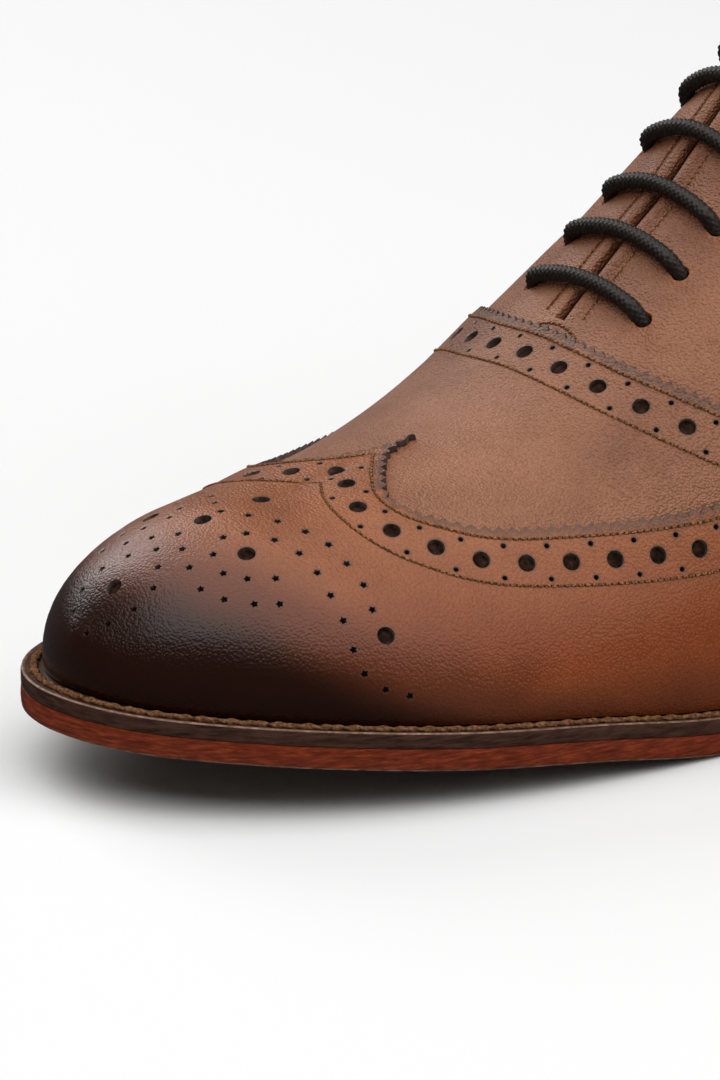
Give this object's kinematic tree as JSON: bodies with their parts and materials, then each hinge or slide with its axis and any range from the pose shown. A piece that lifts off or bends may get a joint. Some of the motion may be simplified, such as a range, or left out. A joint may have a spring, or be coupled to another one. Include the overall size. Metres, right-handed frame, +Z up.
{
  "type": "brogue oxford shoe",
  "caption": "Left dress shoe with closed lacing, a pinked and punched wing cap, round waxed laces, a leather sole on a welt and a stacked heel; it stands empty on its sole.",
  "frame": {"origin": "middle of the shoe's box, on the floor under the sole", "axes": "+Z up, +Y from the toe to the heel, +X toward the outer (lateral) side of this left shoe"},
  "size_m": [0.1038, 0.302, 0.1177],
  "materials": {
    "outsole": "dyed leather sole with a mahogany edge",
    "welt": "dark brown leather with a lighter bevel",
    "top_piece": "matte black rubber",
    "heel_lift": "stacked leather, dark edge",
    "insole": "natural leather",
    "upper": "tan calf leather, lined",
    "vamp": "tan calf leather, fine grain",
    "wing_cap": "tan calf leather, burnished dark at the toe",
    "heel_counter": "tan calf leather, slightly burnished",
    "tongue": "tan calf leather",
    "lace": "waxed round cotton braid"
  },
  "bodies": {
    "root": {"outsole": "outsole", "welt": "welt", "top_piece": "top_piece", "heel_lift_1": "heel_lift", "heel_lift_2": "heel_lift", "heel_lift_3": "heel_lift", "insole": "insole", "upper": "upper", "vamp": "vamp", "wing_cap": "wing_cap", "heel_counter": "heel_counter", "tongue": "tongue", "lace_bar_1": "lace", "lace_bar_2": "lace", "lace_bar_3": "lace", "lace_bar_4": "lace", "lace_bar_5": "lace", "lace_bar_6": "lace"}
  },
  "joints": []
}
